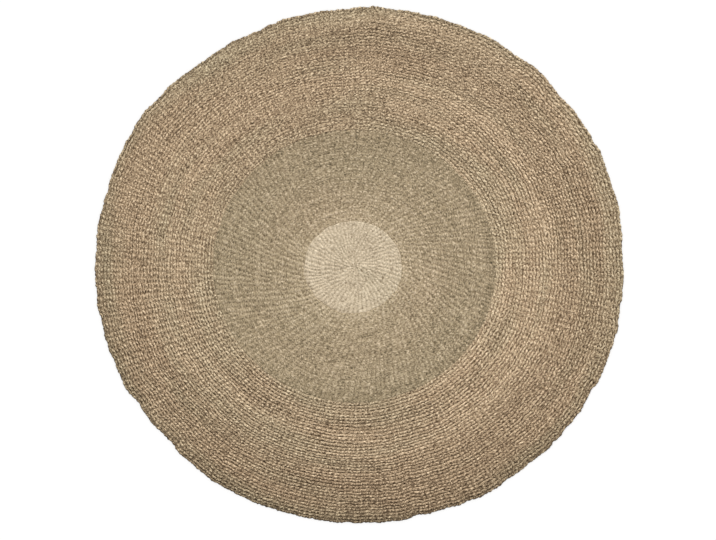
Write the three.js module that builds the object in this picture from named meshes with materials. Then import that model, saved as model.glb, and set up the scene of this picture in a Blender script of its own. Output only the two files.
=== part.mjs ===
// A round seagrass rug, twined in one piece on radial warps. Seen from above it has a pale centre, an olive
// field of fine yarn, and a broad tan border whose thick rows stand up as concentric ribs. It lies flat, its
// outline is a little uneven, and the weave's centre lies to the left of the outline's.
// Millimetres, +Z up. The origin is on the floor, under the middle of the outline's box.
import * as THREE from 'three';
import { mergeVertices } from 'three/addons/utils/BufferGeometryUtils.js';

// Ellipses round the weave's centre where one yarn ends and the next begins, and the outline before its bulges.
const PALE_EDGE = { halfWidth: 140, halfDepth: 132, right: -4.5, back: -3 };
const FIELD_EDGE = { halfWidth: 405, halfDepth: 390, right: 0, back: 0 };
const OUTLINE = { halfWidth: 760, halfDepth: 740, right: 17, back: 3 };

// Where the outline swells or falls in: anticlockwise from the right, each a soft bell with this half width.
const BULGES = [
  { atDeg: 2, halfWidthDeg: 10, outBy: -7.5 },
  { atDeg: 37, halfWidthDeg: 6, outBy: -3 },
  { atDeg: 46, halfWidthDeg: 25, outBy: 5 },
  { atDeg: 96, halfWidthDeg: 6, outBy: -2.5 },
  { atDeg: 116, halfWidthDeg: 15, outBy: -8 },
  { atDeg: 131, halfWidthDeg: 7, outBy: -3.5 },
  { atDeg: 145, halfWidthDeg: 8, outBy: 6.5 },
  { atDeg: 200, halfWidthDeg: 18, outBy: 2.5 },
  { atDeg: 220, halfWidthDeg: 7, outBy: -6.5 },
  { atDeg: 241, halfWidthDeg: 6, outBy: 3.5 },
  { atDeg: 286, halfWidthDeg: 6, outBy: -3 },
  { atDeg: 299, halfWidthDeg: 6, outBy: 3 },
  { atDeg: 329, halfWidthDeg: 10, outBy: 2.5 },
];

// Thicknesses, and the border's rows of two-strand weft.
const CENTRE_TOP = 8;
const FIELD_TOP = 8.5;
const BORDER_ROWS = 39;
const ROW_CREST = 11;
const ROW_GROOVE = 9;
const RIM_HEIGHT = 5; // where the last row is widest
const RIM_UNDERCUT = 4; // from the outline in to where the underside starts
const BORDER_WIDTH = OUTLINE.halfWidth - FIELD_EDGE.halfWidth;

const SPOKES = 64; // steps round the rug

// Lengths in the profile count bands: 1 is the pale centre's edge, 2 the field's and 3 the outline.
const PALE = 1;
const FIELD = 2;
const BORDER = 3;

// Distance from the weave's centre to an ellipse that lies off it, along a direction of angle turn.
function ellipseReach({ halfWidth, halfDepth, right, back }, turn) {
  const across = Math.cos(turn) / halfWidth;
  const along = Math.sin(turn) / halfDepth;
  const rightShare = right / halfWidth;
  const backShare = back / halfDepth;
  const square = across ** 2 + along ** 2;
  const half = across * rightShare + along * backShare;
  const rest = rightShare ** 2 + backShare ** 2 - 1;
  return (half + Math.sqrt(half ** 2 - square * rest)) / square;
}

// Sum of the bulges at one angle, each with the shorter way round to its own place.
function bulgeAt(turn) {
  return BULGES.reduce((sum, { atDeg, halfWidthDeg, outBy }) => {
    const away = THREE.MathUtils.euclideanModulo(THREE.MathUtils.radToDeg(turn) - atDeg + 180, 360) - 180;
    return sum + outBy * Math.exp(-((away / halfWidthDeg) ** 2));
  }, 0);
}

// Distance from the weave's centre to a place given in bands, along a direction.
function reach(bands, turn) {
  const edges = [0, ellipseReach(PALE_EDGE, turn), ellipseReach(FIELD_EDGE, turn),
    ellipseReach(OUTLINE, turn) + bulgeAt(turn)];
  const inner = Math.min(Math.floor(bands), BORDER - 1);
  return THREE.MathUtils.lerp(edges[inner], edges[inner + 1], bands - inner);
}

// Half a section of the rug, from the middle of the underside, round the rim and back to the middle of the top.
function section() {
  const points = [
    new THREE.Vector2(0, 0),
    new THREE.Vector2(BORDER - RIM_UNDERCUT / BORDER_WIDTH, 0),
    new THREE.Vector2(BORDER, RIM_HEIGHT),
  ];
  for (let row = BORDER_ROWS - 1; row >= 0; row -= 1) {
    const groove = row === 0 ? FIELD_TOP : ROW_GROOVE;
    points.push(new THREE.Vector2(FIELD + (row + 0.5) / BORDER_ROWS, ROW_CREST));
    points.push(new THREE.Vector2(FIELD + row / BORDER_ROWS, groove));
  }
  points.push(new THREE.Vector2(PALE, CENTRE_TOP));
  points.push(new THREE.Vector2(0, CENTRE_TOP));
  return points;
}

// The section is turned into a disc measured in bands, and each point is then moved out to its real distance.
function rugShape() {
  const turned = new THREE.LatheGeometry(section(), SPOKES);
  turned.deleteAttribute('normal');
  turned.deleteAttribute('uv');
  const shape = mergeVertices(turned);
  shape.rotateX(Math.PI / 2);
  const places = shape.getAttribute('position');
  const point = new THREE.Vector3();
  for (let i = 0; i < places.count; i += 1) {
    point.fromBufferAttribute(places, i);
    const turn = Math.atan2(point.y, point.x);
    const distance = reach(Math.hypot(point.x, point.y), turn);
    places.setXY(i, distance * Math.cos(turn), distance * Math.sin(turn));
  }
  shape.computeBoundingBox();
  const middle = shape.boundingBox.getCenter(new THREE.Vector3());
  shape.translate(-middle.x, -middle.y, 0);
  shape.computeVertexNormals();
  return shape;
}

const seagrass = new THREE.MeshStandardMaterial({ color: 0xa58f73, roughness: 0.9, metalness: 0 });
const rug = new THREE.Mesh(rugShape(), seagrass);
rug.name = 'rug';

const part = new THREE.Group();
part.add(rug);

export default part;
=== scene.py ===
# A round seagrass rug, twined by hand from the middle out. It lies flat on a pale studio floor and is seen
# from straight above. Metres, +Z up, +X to the right and +Y to the top of the picture.
import bpy
import numpy as np
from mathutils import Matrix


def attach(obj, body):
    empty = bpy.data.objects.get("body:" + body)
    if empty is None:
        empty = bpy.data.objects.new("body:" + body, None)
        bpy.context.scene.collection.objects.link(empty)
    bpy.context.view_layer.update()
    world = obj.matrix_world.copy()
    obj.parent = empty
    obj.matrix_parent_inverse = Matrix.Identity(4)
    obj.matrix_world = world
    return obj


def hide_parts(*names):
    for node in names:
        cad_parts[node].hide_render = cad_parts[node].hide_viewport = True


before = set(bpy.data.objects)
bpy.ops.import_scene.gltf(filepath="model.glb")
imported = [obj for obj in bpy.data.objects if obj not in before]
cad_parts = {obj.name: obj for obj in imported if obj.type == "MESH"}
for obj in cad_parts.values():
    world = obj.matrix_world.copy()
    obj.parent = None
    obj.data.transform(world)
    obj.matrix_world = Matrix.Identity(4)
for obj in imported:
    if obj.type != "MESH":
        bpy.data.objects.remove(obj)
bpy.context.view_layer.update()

# Camera, straight above the rug with +Y up the picture. The picture is 716 pixels wide, and the middle of
# the rug's outline lies about one pixel right of the picture's middle and five above it.
PICTURE_WIDTH = 716
METRES_PER_PIXEL = 0.0028657
RUG_RIGHT_PIXELS = 1.1
RUG_UP_PIXELS = 4.65
LENS_MM = 100
SENSOR_MM = 36
OUTLINE_HEIGHT = 0.005  # of the rug's widest line above the floor

lens = bpy.data.cameras.new("camera")
lens.lens = LENS_MM
lens.sensor_width = SENSOR_MM
camera = bpy.data.objects.new("camera", lens)
bpy.context.collection.objects.link(camera)
camera.location = (
    -RUG_RIGHT_PIXELS * METRES_PER_PIXEL,
    -RUG_UP_PIXELS * METRES_PER_PIXEL,
    PICTURE_WIDTH * METRES_PER_PIXEL * LENS_MM / SENSOR_MM + OUTLINE_HEIGHT,
)
bpy.context.scene.camera = camera

# Pale centre, where the maker starts. Two strands of fine straw-pale seagrass are twisted round the radial
# warps, row after row, from a knot in the middle. New warps are let in as the circle grows.
SPOKES = 64                  # directions in which the solid has corners
PALE_EDGE_HEIGHT = 0.008     # the solid's edge lines are told apart by their heights
SAME_HEIGHT = 2e-5
HIDDEN_HEIGHT = 0.0042       # where the upper pieces end, inside the rug
KNOT_REACH = 0.004
KNOT_DEPTH = 0.001           # of the knot below the rows round it
# Painted shade on the knot, as a share of the darkest in a groove.
KNOT_PAINTED_SHADE = 0.3
PALE_ROWS = 15
PALE_WANDER = 0.0008         # spread of the lines between two rows
YARN_CHANGE_WANDER = 0.0008  # and of the lines where the yarn is changed

# Stitches in a row at some distances from the weave's middle, and how far the warps lean back clockwise
# there, sideways for each step outwards.
STITCHES_AT = np.array([0.004, 0.029, 0.052, 0.097, 0.132, 0.165, 0.235, 0.305, 0.350, 0.373, 0.410, 0.487,
                        0.579, 0.694, 0.760])
STITCHES = np.array([5, 20, 34, 58, 73, 79, 103, 128, 149, 184, 190, 198, 244, 285, 289])
LEAN_AT = np.array([0.0, 0.060, 0.100, 0.170, 0.260, 0.370, 0.420])
LEAN = np.array([0.28, 0.25, 0.14, 0.36, 0.32, 0.20, 0.04])
GAP_CHANCE = (0.8, 1.2)      # factors by which chance decides which gaps get a new warp
EVENING_ROUNDS = 3           # how often the warps of a row are moved towards even gaps

PALE_STITCH = {
    "steps": 4,                             # points along one stitch
    "across": (-0.62, -0.1, 0.42, 1.0),     # where the rings of points lie: -1 inner groove, 1 outer groove
    "crest": 0.1,                           # where a stitch is highest, on the same scale
    "roundness": 3.0,                       # power of the fall from the crest: a high one makes it broad
    "top": 0.0080,
    "groove": 0.0009,                       # depth of the groove between two rows
    "gap": 0.0017,                          # depth of the gap between two stitches
    "pit": 0.3,                             # how much deeper a groove is at a gap, as a share
    "dark": 0.0030,                         # depth at which the painted shade in a groove is darkest
    "slant": 0.12,                          # in stitches, from the row's middle to its edge
    "uneven": 0.0003,                       # spread of the stitches' heights
    "slip": 0.10,                           # spread of their places along the row, in stitches
    "slide": 0.10,                          # and across it, in half rows
    "mottle": 0.35,                         # spread of their tones
}
GAP_CURVE = 1.6              # power of a stitch's fall from its warp to the gap
PIT_BALANCE = 0.4            # about the mean of that curve, so that pits keep the grooves' mean depth
FARTHEST_SLIP = 1.8          # in spreads, so that no stitch passes the next
STRAND_WAVES = np.array([3, 7, 12])  # round the rug, in which one strand is the lighter
STRAND_CONTRAST = 0.25

PALE_COLOURS = {
    "dark": (0.25, 0.192, 0.125),
    "middle": (0.622, 0.509, 0.356),
    "light": (0.87, 0.747, 0.56),
    "green tint": (0.93, 0.98, 0.95),
}
FULL_TURN = 2 * np.pi
DIRECTIONS = 2048
ROUND = np.linspace(0, FULL_TURN, DIRECTIONS, endpoint=False)  # in which edges and tones are worked out
DRIFT_FADE = 8               # how fast waves shorter than a drift's length die out
hand = np.random.default_rng(11)  # the unevenness of hand work, the same in every run


def corners_at(height):
    """The solid's corner points at one height, a line each of x and y."""
    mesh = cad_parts["rug"].data
    corners = np.empty(3 * len(mesh.vertices))
    mesh.vertices.foreach_get("co", corners)
    corners = corners.reshape(-1, 3)
    return corners[np.isclose(corners[:, 2], height, atol=SAME_HEIGHT)][:, :2]


def edge_line(height):
    """Distance from the weave's middle to the solid's edge line at one height, in every direction of ROUND:
    the corner points on the spokes, joined by a Fourier series."""
    line = corners_at(height) - middle
    distance = np.hypot(line[:, 0], line[:, 1])
    line, distance = line[distance > KNOT_REACH], distance[distance > KNOT_REACH]
    spoke = np.rint(np.arctan2(line[:, 1], line[:, 0]) * SPOKES / FULL_TURN).astype(int) % SPOKES
    reach = np.zeros(SPOKES)
    reach[spoke] = distance
    return np.fft.irfft(np.fft.rfft(reach), DIRECTIONS) * DIRECTIONS / SPOKES


def at_turn(turn, values):
    """Values that are known in the directions of ROUND, read between them along straight lines."""
    return np.interp(turn, ROUND, values, period=FULL_TURN)


def by_row(rows, known, values):
    """A line for each row and a column for each direction, the same all round: the values of the rows that
    are known, and between these even steps from one to the next."""
    return np.repeat(np.interp(np.arange(rows), known, values)[:, None], DIRECTIONS, axis=1)


def drift(lines, rows_long, turns_long, spread):
    """Slow chance variation with this spread, a line for each row and a column for each direction: white
    noise with its short waves faded out, so that it runs on over some rows and some part of a turn."""
    waves = np.fft.fft2(hand.normal(size=(lines, DIRECTIONS)))
    over_rows = np.fft.fftfreq(lines)[:, None] * rows_long
    round_rug = np.fft.fftfreq(DIRECTIONS)[None, :] * DIRECTIONS * turns_long
    smooth = np.fft.ifft2(waves * np.exp(-DRIFT_FADE * (over_rows ** 2 + round_rug ** 2))).real
    return smooth / smooth.std() * spread


def row_edges(inner, outer, widths, wander):
    """Distance to each line between two rows, from the inner edge to the outer, for rows of these relative
    widths: their running sum, and a slow wander that dies out at both edges."""
    lines = len(widths) + 1
    share = np.append(0, np.cumsum(widths) / np.sum(widths))[:, None]
    sway = drift(lines, rows_long=5, turns_long=0.06, spread=1)
    sway = sway + drift(lines, rows_long=0, turns_long=0.015, spread=0.7)
    return inner + (outer - inner) * share + wander * np.sin(np.pi * share) ** 0.5 * sway


def next_warps(warps, reach, step):
    """The warps' directions one row further out: new ones come in at the widest gaps, all even out a little,
    and all lean clockwise."""
    count = int(round(np.interp(reach, STITCHES_AT, STITCHES)))
    gaps = np.diff(warps, append=warps[0] + FULL_TURN)
    from_narrowest = np.argsort(gaps * hand.uniform(*GAP_CHANCE, len(gaps)))
    widest = from_narrowest[len(gaps) - max(count - len(warps), 0):]
    warps = np.sort(np.append(warps, warps[widest] + gaps[widest] / 2))
    for _ in range(EVENING_ROUNDS):
        gaps = np.diff(warps, append=warps[0] + FULL_TURN)
        warps = warps + (gaps - np.roll(gaps, 1)) / 4
    return warps - np.interp(reach, LEAN_AT, LEAN) * step / reach


def each_stitch(values, steps):
    """A value of each stitch at all its steps along the row. The step between two stitches gets their
    mean."""
    spread = np.repeat(values[:, None], steps, axis=1)
    spread[:, 0] = (values + np.roll(values, 1)) / 2
    return spread.ravel()


def strand_tone(warps, number):
    """How much lighter one of the two strands is than the other, along the row: the mean of a few slow
    waves."""
    shift = hand.uniform(0, FULL_TURN, len(STRAND_WAVES))
    return STRAND_CONTRAST * np.sin(STRAND_WAVES[:, None] * warps + shift[:, None] + number).mean(axis=0)


def stitch_row(edges, warps, stitch, number, tones, deepness, side=1):
    """One row of stitches. Along the row, a stitch falls as a power curve from its warp to the gap before
    the next. Across it, the surface falls as another from the crest to the groove on each side, and a groove
    is a pit where a gap meets it. The ridge slants, as twisted strands do, and the other way on side -1, the
    underside. Chance moves, raises and shades each stitch. Gives each point's direction, distance, depth
    below the top, yarn coordinates in metres (along the row, outwards, and the row's length) and tone."""
    steps = stitch["steps"]
    count = len(warps)
    along = np.arange(count * steps) / steps - 0.5
    across = np.array(stitch["across"])[:, None]
    slip = np.clip(hand.normal(size=count), -FARTHEST_SLIP, FARTHEST_SLIP) * stitch["slip"]
    place = along + each_stitch(slip, steps) - side * stitch["slant"] * across
    numbers = np.arange(-2, count + 3)
    round_again = np.concatenate([warps[-2:] - FULL_TURN, warps, warps[:3] + FULL_TURN])
    turn = np.interp(place, numbers, round_again)
    inner = at_turn(turn, edges[0])
    outer = at_turn(turn, edges[1])
    slide = each_stitch(hand.normal(0, stitch["slide"], count), steps) * (1 - across ** 2)
    distance = inner + (outer - inner) * (across + slide + 1) / 2

    from_crest = across - stitch["crest"]
    fall = np.abs(from_crest) / (1 - np.sign(from_crest) * stitch["crest"])
    rounded = np.sqrt(np.clip(1 - fall ** stitch["roundness"], 0, 1))
    from_warp = np.abs((along + 0.5) % 1 - 0.5) * 2
    open_gap = from_warp ** GAP_CURVE
    depth = stitch["groove"] * (1 - rounded) * at_turn(turn, deepness)
    depth = depth * (1 + stitch["pit"] * (open_gap - PIT_BALANCE)) + stitch["gap"] * rounded * open_gap
    depth = depth + rounded * each_stitch(hand.normal(0, stitch["uneven"], count), steps)

    shades = hand.normal(0, stitch["mottle"], count)
    shades = shades + np.where(np.arange(count) % 2, 1, -1) * strand_tone(warps, number)
    tone = each_stitch(shades, steps) + at_turn(turn, tones)
    length = FULL_TURN * edges.mean()
    yarn = np.stack(np.broadcast_arrays(along / count * length, distance, length), axis=-1)
    return turn, distance, depth, yarn, tone


# What the columns of a point hold: its place, with its height as the last of the three, its yarn
# coordinates, tone, share of green grass, and depth in a groove from 0 to 1, which sets the painted shade
# there.
PLACE = slice(0, 3)
HEIGHT = 2
YARN = slice(3, 6)
TONE = 6
GREEN = 7
PAINTED_SHADE = 8


def ring_points(turn, distance, height, yarn, tone, green, painted_shade):
    """The points of one or more rings, from their direction and distance, their height and what else they
    hold."""
    x = middle[0] + distance * np.cos(turn)
    y = middle[1] + distance * np.sin(turn)
    columns = np.broadcast_arrays(x, y, height, yarn[..., 0], yarn[..., 1], yarn[..., 2], tone, green, painted_shade)
    return np.stack(columns, axis=-1)


def knot_point(height):
    """A ring of one single point, over the weave's middle."""
    return ring_points(np.zeros((1, 1)), 0, height, np.zeros((1, 1, 3)), 0, 0, KNOT_PAINTED_SHADE)


def upper_rows(rows, edges, warps, stitch, number, tones, greens, thickness, deepness):
    """The top of some rows, the first of which has this number: a band of rings for each, and the warps of
    the last."""
    bands = []
    for row in range(rows):
        reach = (edges[row].mean() + edges[row + 1].mean()) / 2
        warps = next_warps(warps, reach, (edges[row + 1] - edges[row]).mean())
        warps_by_row.append(warps)
        turn, distance, depth, yarn, tone = stitch_row(edges[row:row + 2], warps, stitch, number + row,
                                                       tones[row], deepness[row])
        height = stitch["top"] - depth + at_turn(turn, thickness[row])
        # Painted shade in the grooves, from their depth.
        painted_shade = np.clip(depth / stitch["dark"], 0, 1)
        bands.append(ring_points(turn, distance, height, yarn, tone, at_turn(turn, greens[row]), painted_shade))
    return bands, warps


def sunk(ring):
    """A copy of a ring at the height where the upper pieces end."""
    low = ring.copy()
    low[..., HEIGHT] = HIDDEN_HEIGHT
    return low


def zip_faces(inner, outer, numbers_in, numbers_out):
    """Triangles between two rings of unlike counts, closed like a zip: each point makes one with the point
    before it and with the point last passed on the other ring."""
    def in_order(ring, numbers):
        turn = np.arctan2(ring[:, 1] - middle[1], ring[:, 0] - middle[0]) % FULL_TURN
        order = np.argsort(turn)
        return turn[order], numbers[order]

    turn_in, near = in_order(inner, numbers_in)
    turn_out, far = in_order(outer, numbers_out)
    passed_out = far[np.searchsorted(turn_out, turn_in, side="left") - 1]
    passed_in = near[np.searchsorted(turn_in, turn_out, side="right") - 1]
    faces = np.concatenate([
        np.stack([np.roll(near, 1), passed_out, near], axis=1),
        np.stack([passed_in, np.roll(far, 1), far], axis=1),
    ])
    return faces[(faces[:, 0] != faces[:, 1]) & (faces[:, 1] != faces[:, 2]) & (faces[:, 0] != faces[:, 2])]


def grid_faces(numbers):
    """Triangles between neighbouring rings of one count, point to point, given the points' numbers ring by
    ring."""
    near, far = numbers[:-1], numbers[1:]
    near_next, far_next = np.roll(near, -1, axis=1), np.roll(far, -1, axis=1)
    one = np.stack([near, far, far_next], axis=-1).reshape(-1, 3)
    two = np.stack([near, far_next, near_next], axis=-1).reshape(-1, 3)
    return np.concatenate([one, two])


def woven_mesh(name, bands, closed_ring, hidden_height):
    """A mesh over bands of rings, which go round the weave's middle and follow one another over the surface.
    Rings of one band are joined point to point and two bands like a zip. A closed ring is zipped from its
    last band back to its first, and a disc starts and ends with a single point."""
    starts = np.cumsum([0] + [band.shape[0] * band.shape[1] for band in bands])
    numbers = [start + np.arange(band.shape[0] * band.shape[1]).reshape(band.shape[:2])
               for start, band in zip(starts, bands)]
    faces = [grid_faces(band) for band in numbers if band.shape[0] > 1]
    pairs = list(zip(range(len(bands) - 1), range(1, len(bands))))
    if closed_ring:
        pairs.append((len(bands) - 1, 0))
    for one, two in pairs:
        faces.append(zip_faces(bands[one][-1], bands[two][0], numbers[one][-1], numbers[two][0]))
    faces = np.concatenate(faces)
    points = np.concatenate([band.reshape(-1, band.shape[2]) for band in bands])

    mesh = bpy.data.meshes.new(name)
    mesh.vertices.add(len(points))
    mesh.vertices.foreach_set("co", points[:, PLACE].ravel())
    mesh.loops.add(faces.size)
    mesh.loops.foreach_set("vertex_index", faces.ravel())
    mesh.polygons.add(len(faces))
    mesh.polygons.foreach_set("loop_start", np.arange(0, faces.size, 3))
    mesh.update(calc_edges=True)
    hidden = np.isclose(points[:, HEIGHT], hidden_height)[faces].any(axis=1)
    mesh.polygons.foreach_set("use_smooth", ~hidden)

    # A triangle over the place where a row starts counts its yarn on past the row's end.
    yarn = points[faces, YARN]
    past_start = yarn[..., 0].max(axis=1, keepdims=True) - yarn[..., 0] > yarn[..., 2] / 2
    yarn[..., 0] += yarn[..., 2] * past_start
    mesh.attributes.new("yarn", "FLOAT_VECTOR", "CORNER").data.foreach_set("vector", yarn.ravel())
    # The tone, the share of green grass and the painted shade in the grooves go to the mesh as attributes.
    for attribute, column in (("tone", TONE), ("green", GREEN), ("painted_shade", PAINTED_SHADE)):
        mesh.attributes.new(attribute, "FLOAT", "POINT").data.foreach_set("value", points[:, column].copy())
    mesh.validate()
    piece = bpy.data.objects.new(name, mesh)
    bpy.context.collection.objects.link(piece)
    return piece


# Dry seagrass: lengths and widths of what shows on the yarn, in metres, its slant in degrees, and how much
# it moves the tone and the roughness. The tone runs from 0, dark, to 1, light, and its middle is 0.5.
FIBRES = {"length": 0.010, "width": 0.0011, "slant": 25, "detail": 2}
FLECKS = {"length": 0.0060, "width": 0.0030, "slant": 30, "detail": 0}
# Patches over which the painted shade in the grooves grows stronger and weaker.
SHADE_PATCHES = {"length": 0.009, "width": 0.005, "slant": 0, "detail": 0}
MIDDLE_TONE = 0.5
MEAN_NOISE = 0.5
STITCH_CONTRAST = 0.12
FIBRE_CONTRAST = 0.9
DARK_TONE = 0.12
LIGHT_TONE = 0.92
# Colour and strength of the painted shade in the grooves.
PAINTED_SHADE_COLOUR = (0.28, 0.23, 0.17)
PAINTED_SHADE_CURVE = 1.5           # power by which the painted shade in a groove darkens with its depth
PAINTED_SHADE_STRENGTH = 1.1        # of that painted shade on average
SHADE_PATCH_CONTRAST = 2.0         # and how much it changes from patch to patch
ROUGHNESS = 0.66             # the least
FIBRE_ROUGHNESS = 0.25       # what a light fibre adds
SHEEN = 0.25


def seagrass(name, colours, mottling, bump):
    """Twisted dry seagrass. Fine fibres and broader flecks run along the strands, the tone changes from
    stitch to stitch, greener grass has its tint, and painted shade darkens the grooves, more in some patches
    than in others."""
    material = bpy.data.materials.new(name)
    material.use_nodes = True
    nodes, links = material.node_tree.nodes, material.node_tree.links
    shader = nodes["Principled BSDF"]

    def feed(socket, value):
        if isinstance(value, bpy.types.NodeSocket):
            links.new(value, socket)
        elif isinstance(value, tuple):
            socket.default_value = (*value, 1)
        else:
            socket.default_value = value

    def attribute(label, output="Fac"):
        node = nodes.new("ShaderNodeAttribute")
        node.attribute_name = label
        return node.outputs[output]

    def calculate(operation, *values, clamp=False):
        node = nodes.new("ShaderNodeMath")
        node.operation = operation
        node.use_clamp = clamp
        for socket, value in zip(node.inputs, values):
            feed(socket, value)
        return node.outputs[0]

    def streaks(length, width, slant, detail):
        mapping = nodes.new("ShaderNodeMapping")
        mapping.vector_type = "TEXTURE"
        mapping.inputs["Rotation"].default_value = (0, 0, np.radians(slant))
        mapping.inputs["Scale"].default_value = (length, width, 1)
        feed(mapping.inputs["Vector"], attribute("yarn", "Vector"))
        noise = nodes.new("ShaderNodeTexNoise")
        noise.noise_dimensions = "2D"
        noise.inputs["Scale"].default_value = 1
        noise.inputs["Detail"].default_value = detail
        feed(noise.inputs["Vector"], mapping.outputs["Vector"])
        return noise.outputs["Fac"]

    def tinted(share, colour, tint):
        node = nodes.new("ShaderNodeMix")
        node.data_type = "RGBA"
        node.blend_type = "MULTIPLY"
        feed(node.inputs[0], share)
        feed(node.inputs[6], colour)
        feed(node.inputs[7], tint)
        return node.outputs[2]

    fibres = streaks(**FIBRES)
    flecks = streaks(**FLECKS)
    shade_patches = streaks(**SHADE_PATCHES)
    tone = calculate("MULTIPLY_ADD", attribute("tone"), STITCH_CONTRAST, MIDDLE_TONE)
    tone = calculate("MULTIPLY_ADD", calculate("SUBTRACT", fibres, MEAN_NOISE), FIBRE_CONTRAST, tone)
    tone = calculate("MULTIPLY_ADD", calculate("SUBTRACT", flecks, MEAN_NOISE), mottling, tone, clamp=True)

    shades = nodes.new("ShaderNodeValToRGB")
    shades.color_ramp.elements[0].color = (*colours["dark"], 1)
    shades.color_ramp.elements[0].position = DARK_TONE
    shades.color_ramp.elements[1].color = (*colours["light"], 1)
    shades.color_ramp.elements[1].position = LIGHT_TONE
    shades.color_ramp.elements.new(MIDDLE_TONE).color = (*colours["middle"], 1)
    feed(shades.inputs["Fac"], tone)

    grass = tinted(attribute("green"), shades.outputs["Color"], colours["green tint"])
    # Painted shade: the grooves' colour is multiplied in by depth, more in some patches than in others.
    strength = calculate("MULTIPLY_ADD", calculate("SUBTRACT", shade_patches, MEAN_NOISE), SHADE_PATCH_CONTRAST,
                         PAINTED_SHADE_STRENGTH)
    painted_shade = calculate("POWER", attribute("painted_shade"), PAINTED_SHADE_CURVE)
    shadow = calculate("MULTIPLY", painted_shade, strength, clamp=True)
    feed(shader.inputs["Base Color"], tinted(shadow, grass, PAINTED_SHADE_COLOUR))
    feed(shader.inputs["Roughness"], calculate("MULTIPLY_ADD", fibres, FIBRE_ROUGHNESS, ROUGHNESS))
    shader.inputs["Specular IOR Level"].default_value = SHEEN

    raised = nodes.new("ShaderNodeBump")
    raised.inputs["Distance"].default_value = bump
    raised.inputs["Strength"].default_value = 1.0
    feed(raised.inputs["Height"], fibres)
    feed(shader.inputs["Normal"], raised.outputs["Normal"])
    return material


def dress(piece, material):
    """Gives a piece its material, hangs it on the root body, and hides the solid that it stands for."""
    piece.data.materials.append(material)
    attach(piece, "root")
    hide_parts("rug")
    return piece


# The weave's middle is the only corner point of the solid's underside that is not on its rim.
underside_points = corners_at(0)
middle = underside_points[np.argmin(np.hypot(underside_points[:, 0], underside_points[:, 1]))]
warps = np.linspace(0, FULL_TURN, STITCHES[0], endpoint=False)
warps_by_row = []

pale_edge = edge_line(PALE_EDGE_HEIGHT)
pale_edge = pale_edge + drift(1, rows_long=0, turns_long=0.014, spread=YARN_CHANGE_WANDER)[0]
pale_edges = row_edges(np.full(DIRECTIONS, KNOT_REACH), pale_edge, np.ones(PALE_ROWS), PALE_WANDER)
pale_tone = drift(PALE_ROWS, rows_long=1, turns_long=0.1, spread=0.18)
pale_green = np.clip(drift(PALE_ROWS, rows_long=6, turns_long=0.08, spread=0.1), 0, 1)
pale_thickness = drift(PALE_ROWS, rows_long=6, turns_long=0.05, spread=0.0003)
pale_deepness = by_row(PALE_ROWS, [13, 14], [1, 0.3])  # the groove where the yarn is changed is shallow
pale_bands, warps = upper_rows(PALE_ROWS, pale_edges, warps, PALE_STITCH, 0, pale_tone, pale_green,
                               pale_thickness, pale_deepness)
knot = knot_point(PALE_STITCH["top"] - KNOT_DEPTH)
pale_centre = woven_mesh("pale_centre", [knot, *pale_bands, sunk(pale_bands[-1][-1:]), sunk(knot)],
                         closed_ring=False, hidden_height=HIDDEN_HEIGHT)
dress(pale_centre, seagrass("pale seagrass", PALE_COLOURS, mottling=0.6, bump=0.0003))

# Olive field: the same fine twining, row on row, in a yarn of greener grass that is tied on at the pale
# centre's edge. Its stitches stand in leaning columns, and the grooves between its rows are so shallow that
# they hardly show.
FIELD_EDGE_HEIGHT = 0.0085
FIELD_ROWS = 29
FIELD_WANDER = 0.0011
FIELD_GREEN = 0.15
FIELD_STITCH = {
    **PALE_STITCH,
    "top": 0.0085,
    "groove": 0.0013,
    "gap": 0.0019,
    "dark": 0.0036,
    "uneven": 0.0004,
    "slip": 0.09,
    "mottle": 0.4,
}
FIELD_COLOURS = {
    "dark": (0.120, 0.093, 0.055),
    "middle": (0.376, 0.283, 0.169),
    "light": (0.708, 0.563, 0.395),
    "green tint": (0.89, 1.0, 1.0),
}

field_edge = edge_line(FIELD_EDGE_HEIGHT)
field_edge = field_edge + drift(1, rows_long=0, turns_long=0.0055, spread=YARN_CHANGE_WANDER)[0]
field_tone = by_row(FIELD_ROWS, [0, 4, 13, 28], [0.95, 0.72, 0.38, -0.1])
field_tone = field_tone + drift(FIELD_ROWS, rows_long=1, turns_long=0.12, spread=0.16)
field_edges = row_edges(pale_edge, field_edge, np.ones(FIELD_ROWS), FIELD_WANDER)
field_green = np.clip(FIELD_GREEN + drift(FIELD_ROWS, rows_long=8, turns_long=0.08, spread=0.05), 0, 1)
field_thickness = drift(FIELD_ROWS, rows_long=6, turns_long=0.05, spread=0.0003)
field_deepness = by_row(FIELD_ROWS, [0, 1, 27, 28], [0.3, 1, 1, 0.4])
field_bands, warps = upper_rows(FIELD_ROWS, field_edges, warps, FIELD_STITCH, PALE_ROWS, field_tone,
                                field_green, field_thickness, field_deepness)
start = pale_bands[-1][-1:]
end = field_bands[-1][-1:]
olive_field = woven_mesh("olive_field", [np.concatenate([sunk(start), start]), *field_bands, sunk(end)],
                         closed_ring=True, hidden_height=HIDDEN_HEIGHT)
dress(olive_field, seagrass("olive seagrass", FIELD_COLOURS, mottling=0.85, bump=0.0003))

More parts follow.
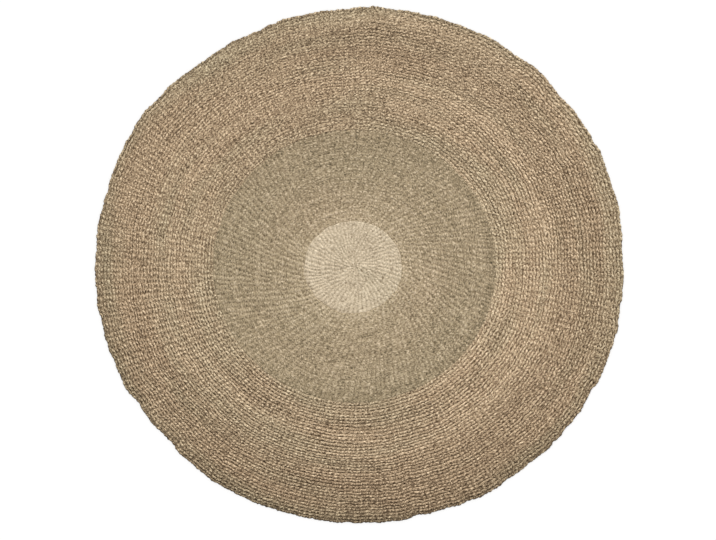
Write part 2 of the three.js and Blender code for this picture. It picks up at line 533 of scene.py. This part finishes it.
# Tan border: thick two-strand rows, 9 mm apart, each beaten in against the row before, so that they stand up
# as ribs. The yarn is tan, and greener in some lengths and in the last rows. The last row rounds the rim.
BORDER_ROWS = 39
BORDER_PARTS = {"tan_border_inner": 14, "tan_border_middle": 13, "tan_border_outer": 12}  # rows in each piece
BORDER_WANDER = 0.0013
BORDER_STITCH = {
    "steps": 5,
    "across": (-0.72, -0.28, 0.2, 0.72, 1.0),
    "crest": 0.0,
    "roundness": 4.0,
    "top": 0.0110,
    "groove": 0.0031,
    "gap": 0.0015,
    "pit": 1.1,
    "dark": 0.0033,
    "slant": 0.24,
    "uneven": 0.0004,
    "slip": 0.10,
    "slide": 0.14,
    "mottle": 0.3,
}
CREST_RINGS = 3              # of the last row's rings, those before it rounds the rim
RIM_BENDS = np.radians([60, 30, 2, -28, -60, -85])  # where its other rings lie: 90 the crest, -90 the floor
RIM_LAG = 0.5                # share of the ridges' slant that goes on round the rim
RIM_SWELL = 0.9              # how much of a stitch's height swells the outline
RIM_SINK = 0.0005            # from the outline in to the mean stitch
RIM_LIFT = 0.0003            # of the rings below the widest line
RIM_SHADE_TONE = -1.5              # painted shade as the rim turns down: the tone's change from the crest to the widest line, going on below it
RIM_GREEN = 0.2
# Painted shade added where the rim turns down, on top of the grooves'.
RIM_PAINTED_SHADE = 0.4
BORDER_COLOURS = {
    "dark": (0.105, 0.064, 0.034),
    "middle": (0.465, 0.333, 0.205),
    "light": (0.88, 0.69, 0.47),
    "green tint": (0.73, 0.91, 0.92),
}


def ripple(fewest, most, spread):
    """Finer bumps of the outline than the solid has: a chance wave round the rug, made of every whole number
    of waves a turn from the fewest to the most, all about equally strong, with this spread in metres."""
    waves = np.zeros(DIRECTIONS // 2 + 1, complex)
    waves[fewest:most] = hand.normal(size=most - fewest) + 1j * hand.normal(size=most - fewest)
    wave = np.fft.irfft(waves, DIRECTIONS)
    return spread * wave / wave.std()


def rim_rings(last, outline):
    """The last row's outer side. Each point of its crest is carried round a quarter ellipse down to the
    widest line, and round another to the floor. The stitches swell the outline, the grass is greener there,
    and painted shade darkens it as it turns down."""
    turn = np.arctan2(last[:, 1] - middle[1], last[:, 0] - middle[0])
    crest = np.hypot(last[:, 0] - middle[0], last[:, 1] - middle[1])
    bend = RIM_BENDS[:, None]
    turn = turn - RIM_LAG * BORDER_STITCH["slant"] * FULL_TURN / len(warps) * (np.pi / 2 - bend)
    swell = RIM_SWELL * (last[:, HEIGHT] - last[:, HEIGHT].mean())
    widest = at_turn(turn, outline) + swell - RIM_SINK
    distance = crest + (widest - crest) * np.cos(bend)
    level = np.sin(bend)
    above = OUTLINE_HEIGHT + (last[:, HEIGHT] - OUTLINE_HEIGHT) * level
    below = OUTLINE_HEIGHT * (1 + level) + RIM_LIFT
    past = 1 - level
    return ring_points(turn, distance, np.where(level > 0, above, below), last[:, YARN],
                       last[:, TONE] + RIM_SHADE_TONE * past, last[:, GREEN] + RIM_GREEN * past,
                       last[:, PAINTED_SHADE] + RIM_PAINTED_SHADE * past)


# The outline, and the widths of the rows to one another at some shares of the way from the first to the last.
outline = edge_line(OUTLINE_HEIGHT) + ripple(14, 40, 0.0013) + ripple(40, 120, 0.0009)
widths = np.interp(np.linspace(0, 1, BORDER_ROWS), [0, 0.15, 0.30, 0.36, 0.6, 0.8, 1],
                   [3.20, 3.33, 3.33, 3.02, 3.10, 3.24, 3.30])
border_edges = row_edges(field_edge, outline, widths, BORDER_WANDER)

border_green = by_row(BORDER_ROWS, [0, 6, 17, 23, 32, 38], [0.2, 0.12, 0.06, 0.0, 0.05, 0.33])
border_green = border_green + drift(BORDER_ROWS, rows_long=8, turns_long=0.05, spread=0.05)
border_green = border_green + drift(BORDER_ROWS, rows_long=2, turns_long=0.03, spread=0.08)
border_green = np.clip(border_green, 0, 1)

# The tone falls towards the rim. On top of that, painted light and shade as the soft light falls: lighter at
# the top of the picture, where that light comes from, most so in the outer rows, lighter at the left and
# right than at the top and bottom, and in the inner rows lighter at the lower right.
border_tone = by_row(BORDER_ROWS, [0, 15, 23, 30, 37, 38], [0.05, 0.15, -0.4, -0.45, -0.65, -1.4])
painted_light_at_top = np.cos(ROUND - np.radians(82)) * by_row(BORDER_ROWS, [0, 26, 31, 38], [0.25, 0.2, 0.3, 0.9])
painted_light_at_sides = np.cos(2 * ROUND) * by_row(BORDER_ROWS, [0, 20, 36, 38], [0.4, 0.25, 0.25, 0.6])
painted_light_at_lower_right = np.cos(ROUND - np.radians(306)) * by_row(BORDER_ROWS, [13, 27], [0.35, 0.15])
border_tone = border_tone + (painted_light_at_top + painted_light_at_sides + painted_light_at_lower_right)
border_tone = border_tone + drift(BORDER_ROWS, rows_long=1.5, turns_long=0.1, spread=0.17)

# The first rows rise from the field's thickness, and the last are the most even.
border_thickness = by_row(BORDER_ROWS, [0, 4], [-0.0019, 0])
border_thickness = border_thickness + drift(BORDER_ROWS, rows_long=8, turns_long=0.05,
                                            spread=by_row(BORDER_ROWS, [34, 38], [0.0004, 0]))

# The grooves are deepest at the lower right and at the two sides, and shallower between the first rows. Their
# painted shade follows their depth, so it is darkest there too.
border_deepness = 0.98 + 0.24 * np.cos(ROUND + np.radians(60)) + 0.2 * np.cos(2 * ROUND)
border_deepness = border_deepness + drift(BORDER_ROWS, rows_long=2, turns_long=0.02, spread=0.12)
border_deepness = border_deepness * by_row(BORDER_ROWS, [0, 4], [0.85, 1])

border_bands, warps = upper_rows(BORDER_ROWS, border_edges, warps, BORDER_STITCH, PALE_ROWS + FIELD_ROWS,
                                 border_tone, border_green, border_thickness, border_deepness)
last_row = border_bands[-1][:CREST_RINGS]
border_bands[-1] = np.concatenate([last_row, rim_rings(last_row[-1], outline + ripple(120, 600, 0.0006))])

tan_seagrass = seagrass("tan seagrass", BORDER_COLOURS, mottling=1.0, bump=0.0004)
first = 0
start = field_bands[-1][-1:]
border_pieces = []
for name, rows in BORDER_PARTS.items():
    bands = border_bands[first:first + rows]
    first += rows
    end = bands[-1][-1:] if first < BORDER_ROWS else last_row[-1:]
    piece = woven_mesh(name, [np.concatenate([sunk(start), start]), *bands, sunk(end)],
                       closed_ring=True, hidden_height=HIDDEN_HEIGHT)
    border_pieces.append(dress(piece, tan_seagrass))
    start = end

# Underside: the same stitches seen from below, pressed flatter by lying on the floor. This one disc reaches
# from the middle to the last row, and all the pieces above are its upper half.
UNDER_TOP = 0.0046
UNDER_KNOT_HEIGHT = 0.001
UNDER_GREEN = 0.1
UNDER_STITCH = {
    "steps": 3,
    "across": (0.1, 1.0),
    "crest": 0.1,
    "roundness": 2.2,
    "groove": 0.0022,
    "gap": 0.0012,
    "pit": 0.3,
    "dark": 0.0030,
    "slant": 0.2,
    "uneven": 0.0002,
    "slip": 0.08,
    "slide": 0.1,
    "mottle": 0.9,
}

all_edges = np.concatenate([pale_edges, field_edges[1:], border_edges[1:]])
under_bands = []
for number, row_warps in enumerate(warps_by_row):
    edges = all_edges[number:number + 2]
    if number == len(warps_by_row) - 1:  # the rim takes the outer half of the last row
        edges = np.stack([edges[0], (edges[0] + edges[1]) / 2])
    turn, distance, depth, yarn, tone = stitch_row(edges, row_warps, UNDER_STITCH, number,
                                                   np.zeros(DIRECTIONS), np.ones(DIRECTIONS), side=-1)
    # Painted shade in the underside's grooves, from their depth.
    painted_shade = np.clip(depth / UNDER_STITCH["dark"], 0, 1)
    band = ring_points(turn, distance, np.maximum(depth, 0), yarn, tone, UNDER_GREEN, painted_shade)
    under_bands.append(band[::-1])
under_bands.reverse()
under_edge = under_bands[0][:1].copy()
under_edge[..., HEIGHT] = UNDER_TOP
under_bands = [knot_point(UNDER_TOP), under_edge, *under_bands, knot_point(UNDER_KNOT_HEIGHT)]
underside = woven_mesh("underside", under_bands, closed_ring=False, hidden_height=UNDER_TOP)
dress(underside, tan_seagrass)

# Studio floor: a plain sheet of white paper that reaches out of the picture. It glows a little, so that it is
# as bright as the photograph's background.
FLOOR_HALF = 30.0
FLOOR_DROP = 0.0002          # below the rug
FLOOR_GLOW = 0.70
PAPER_COLOUR = (0.94, 0.94, 0.94, 1)

floor_mesh = bpy.data.meshes.new("floor")
floor_mesh.from_pydata(
    [(x * FLOOR_HALF, y * FLOOR_HALF, -FLOOR_DROP) for x, y in ((-1, -1), (1, -1), (1, 1), (-1, 1))],
    [], [(0, 1, 2, 3)],
)
floor = bpy.data.objects.new("floor", floor_mesh)
bpy.context.collection.objects.link(floor)
paper = bpy.data.materials.new("white paper")
paper.use_nodes = True
paper_shader = paper.node_tree.nodes["Principled BSDF"]
paper_shader.inputs["Base Color"].default_value = PAPER_COLOUR
paper_shader.inputs["Roughness"].default_value = 1.0
paper_shader.inputs["Specular IOR Level"].default_value = 0.0
paper_shader.inputs["Emission Color"].default_value = (1, 1, 1, 1)
paper_shader.inputs["Emission Strength"].default_value = FLOOR_GLOW
floor_mesh.materials.append(paper)

# Light: even light from all round, and a wide soft light from the top of the picture, which leaves the ribs'
# outer flanks at the bottom in shade. It falls on the rug alone, so that the floor stays plain.
KEY_DIRECTION = np.radians(80)
KEY_HEIGHT = np.radians(36)
KEY_STRENGTH = 3.9
KEY_SOFTNESS = np.radians(35)
ROOM_STRENGTH = 0.36

key = bpy.data.lights.new("soft light", "SUN")
key.energy = KEY_STRENGTH
key.angle = KEY_SOFTNESS
key_object = bpy.data.objects.new("soft light", key)
key_object.rotation_euler = (0, np.pi / 2 - KEY_HEIGHT, KEY_DIRECTION)
bpy.context.collection.objects.link(key_object)
lit = bpy.data.collections.new("under the soft light")
for piece in (pale_centre, olive_field, *border_pieces, underside):
    lit.objects.link(piece)
key_object.light_linking.receiver_collection = lit
room = bpy.data.worlds.new("studio")
bpy.context.scene.world = room
room.use_nodes = True
room.node_tree.nodes["Background"].inputs["Color"].default_value = (1, 1, 1, 1)
room.node_tree.nodes["Background"].inputs["Strength"].default_value = ROOM_STRENGTH
bpy.context.scene.view_settings.view_transform = "Standard"
